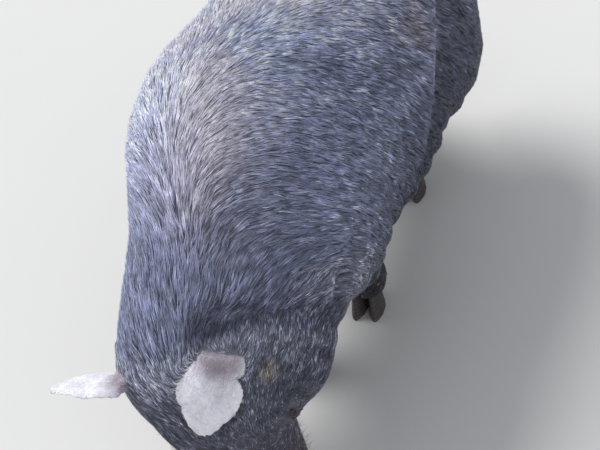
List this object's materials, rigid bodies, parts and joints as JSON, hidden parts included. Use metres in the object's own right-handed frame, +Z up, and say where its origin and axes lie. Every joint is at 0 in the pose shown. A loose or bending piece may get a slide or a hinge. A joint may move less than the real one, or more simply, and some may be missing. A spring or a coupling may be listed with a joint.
{
  "type": "pig",
  "caption": "Still life-size model of a small, round-bodied, dark bristly domestic pig that stands with its head lowered and turned aside to root.",
  "frame": {"origin": "on the floor, under the middle of the whole pig's bounding box", "axes": "+Z up, the pig faces -Y, and its left side is +X"},
  "size_m": [0.409, 0.9238, 0.5499],
  "materials": {
    "hide": "dark slate bristly hide",
    "ear_skin": "pale lilac-grey thin skin",
    "snout_skin": "smooth damp dark grey skin",
    "horn": "worn dark horn",
    "eye": "wet gloss"
  },
  "bodies": {
    "root": {"snout": "snout_skin", "head": "hide", "neck": "hide", "chest": "hide", "belly": "hide", "rump": "hide", "tail": "hide", "ear_left": "ear_skin", "ear_right": "ear_skin", "eye_left": "eye", "eye_right": "eye", "foreleg_left_upper": "hide", "foreleg_left_lower": "hide", "foreleg_left_claw_outer": "horn", "foreleg_left_claw_inner": "horn", "foreleg_left_dewclaw_outer": "horn", "foreleg_left_dewclaw_inner": "horn", "foreleg_right_upper": "hide", "foreleg_right_lower": "hide", "foreleg_right_claw_outer": "horn", "foreleg_right_claw_inner": "horn", "foreleg_right_dewclaw_outer": "horn", "foreleg_right_dewclaw_inner": "horn", "hindleg_left_upper": "hide", "hindleg_left_lower": "hide", "hindleg_left_claw_outer": "horn", "hindleg_left_claw_inner": "horn", "hindleg_left_dewclaw_outer": "horn", "hindleg_left_dewclaw_inner": "horn", "hindleg_right_upper": "hide", "hindleg_right_lower": "hide", "hindleg_right_claw_outer": "horn", "hindleg_right_claw_inner": "horn", "hindleg_right_dewclaw_outer": "horn", "hindleg_right_dewclaw_inner": "horn"}
  },
  "joints": []
}
